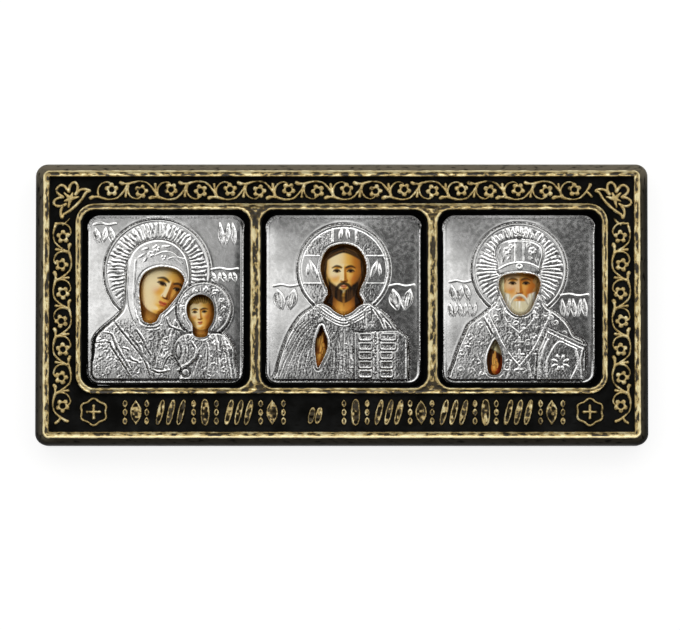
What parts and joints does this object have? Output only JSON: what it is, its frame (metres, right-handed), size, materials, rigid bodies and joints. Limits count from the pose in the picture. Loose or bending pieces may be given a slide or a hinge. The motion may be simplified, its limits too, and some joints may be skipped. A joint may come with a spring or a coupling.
{
  "type": "car icon",
  "caption": "Small flat dashboard icon: stamped foil plaques with printed faces side by side in a moulded frame with a vine border, glued on by its flat back.",
  "frame": {"origin": "middle of the frame's flat back", "axes": "+Z out of the back towards the pictures, +Y to the pictures' upper edge, +X to the viewer's right"},
  "size_m": [0.12, 0.0552, 0.008],
  "materials": {
    "frame": "black moulded plastic with dry-brushed antique gold on everything raised",
    "riza": "stamped silver-coloured foil, satin field, bright raised edges and dark grooves",
    "picture": "glossy printed card, warm skin tones, dark brown hair, only seen through the openings"
  },
  "bodies": {
    "root": {"frame": "frame", "riza_left": "riza", "riza_centre": "riza", "riza_right": "riza", "picture_left": "picture", "picture_centre": "picture", "picture_right": "picture"}
  },
  "joints": []
}
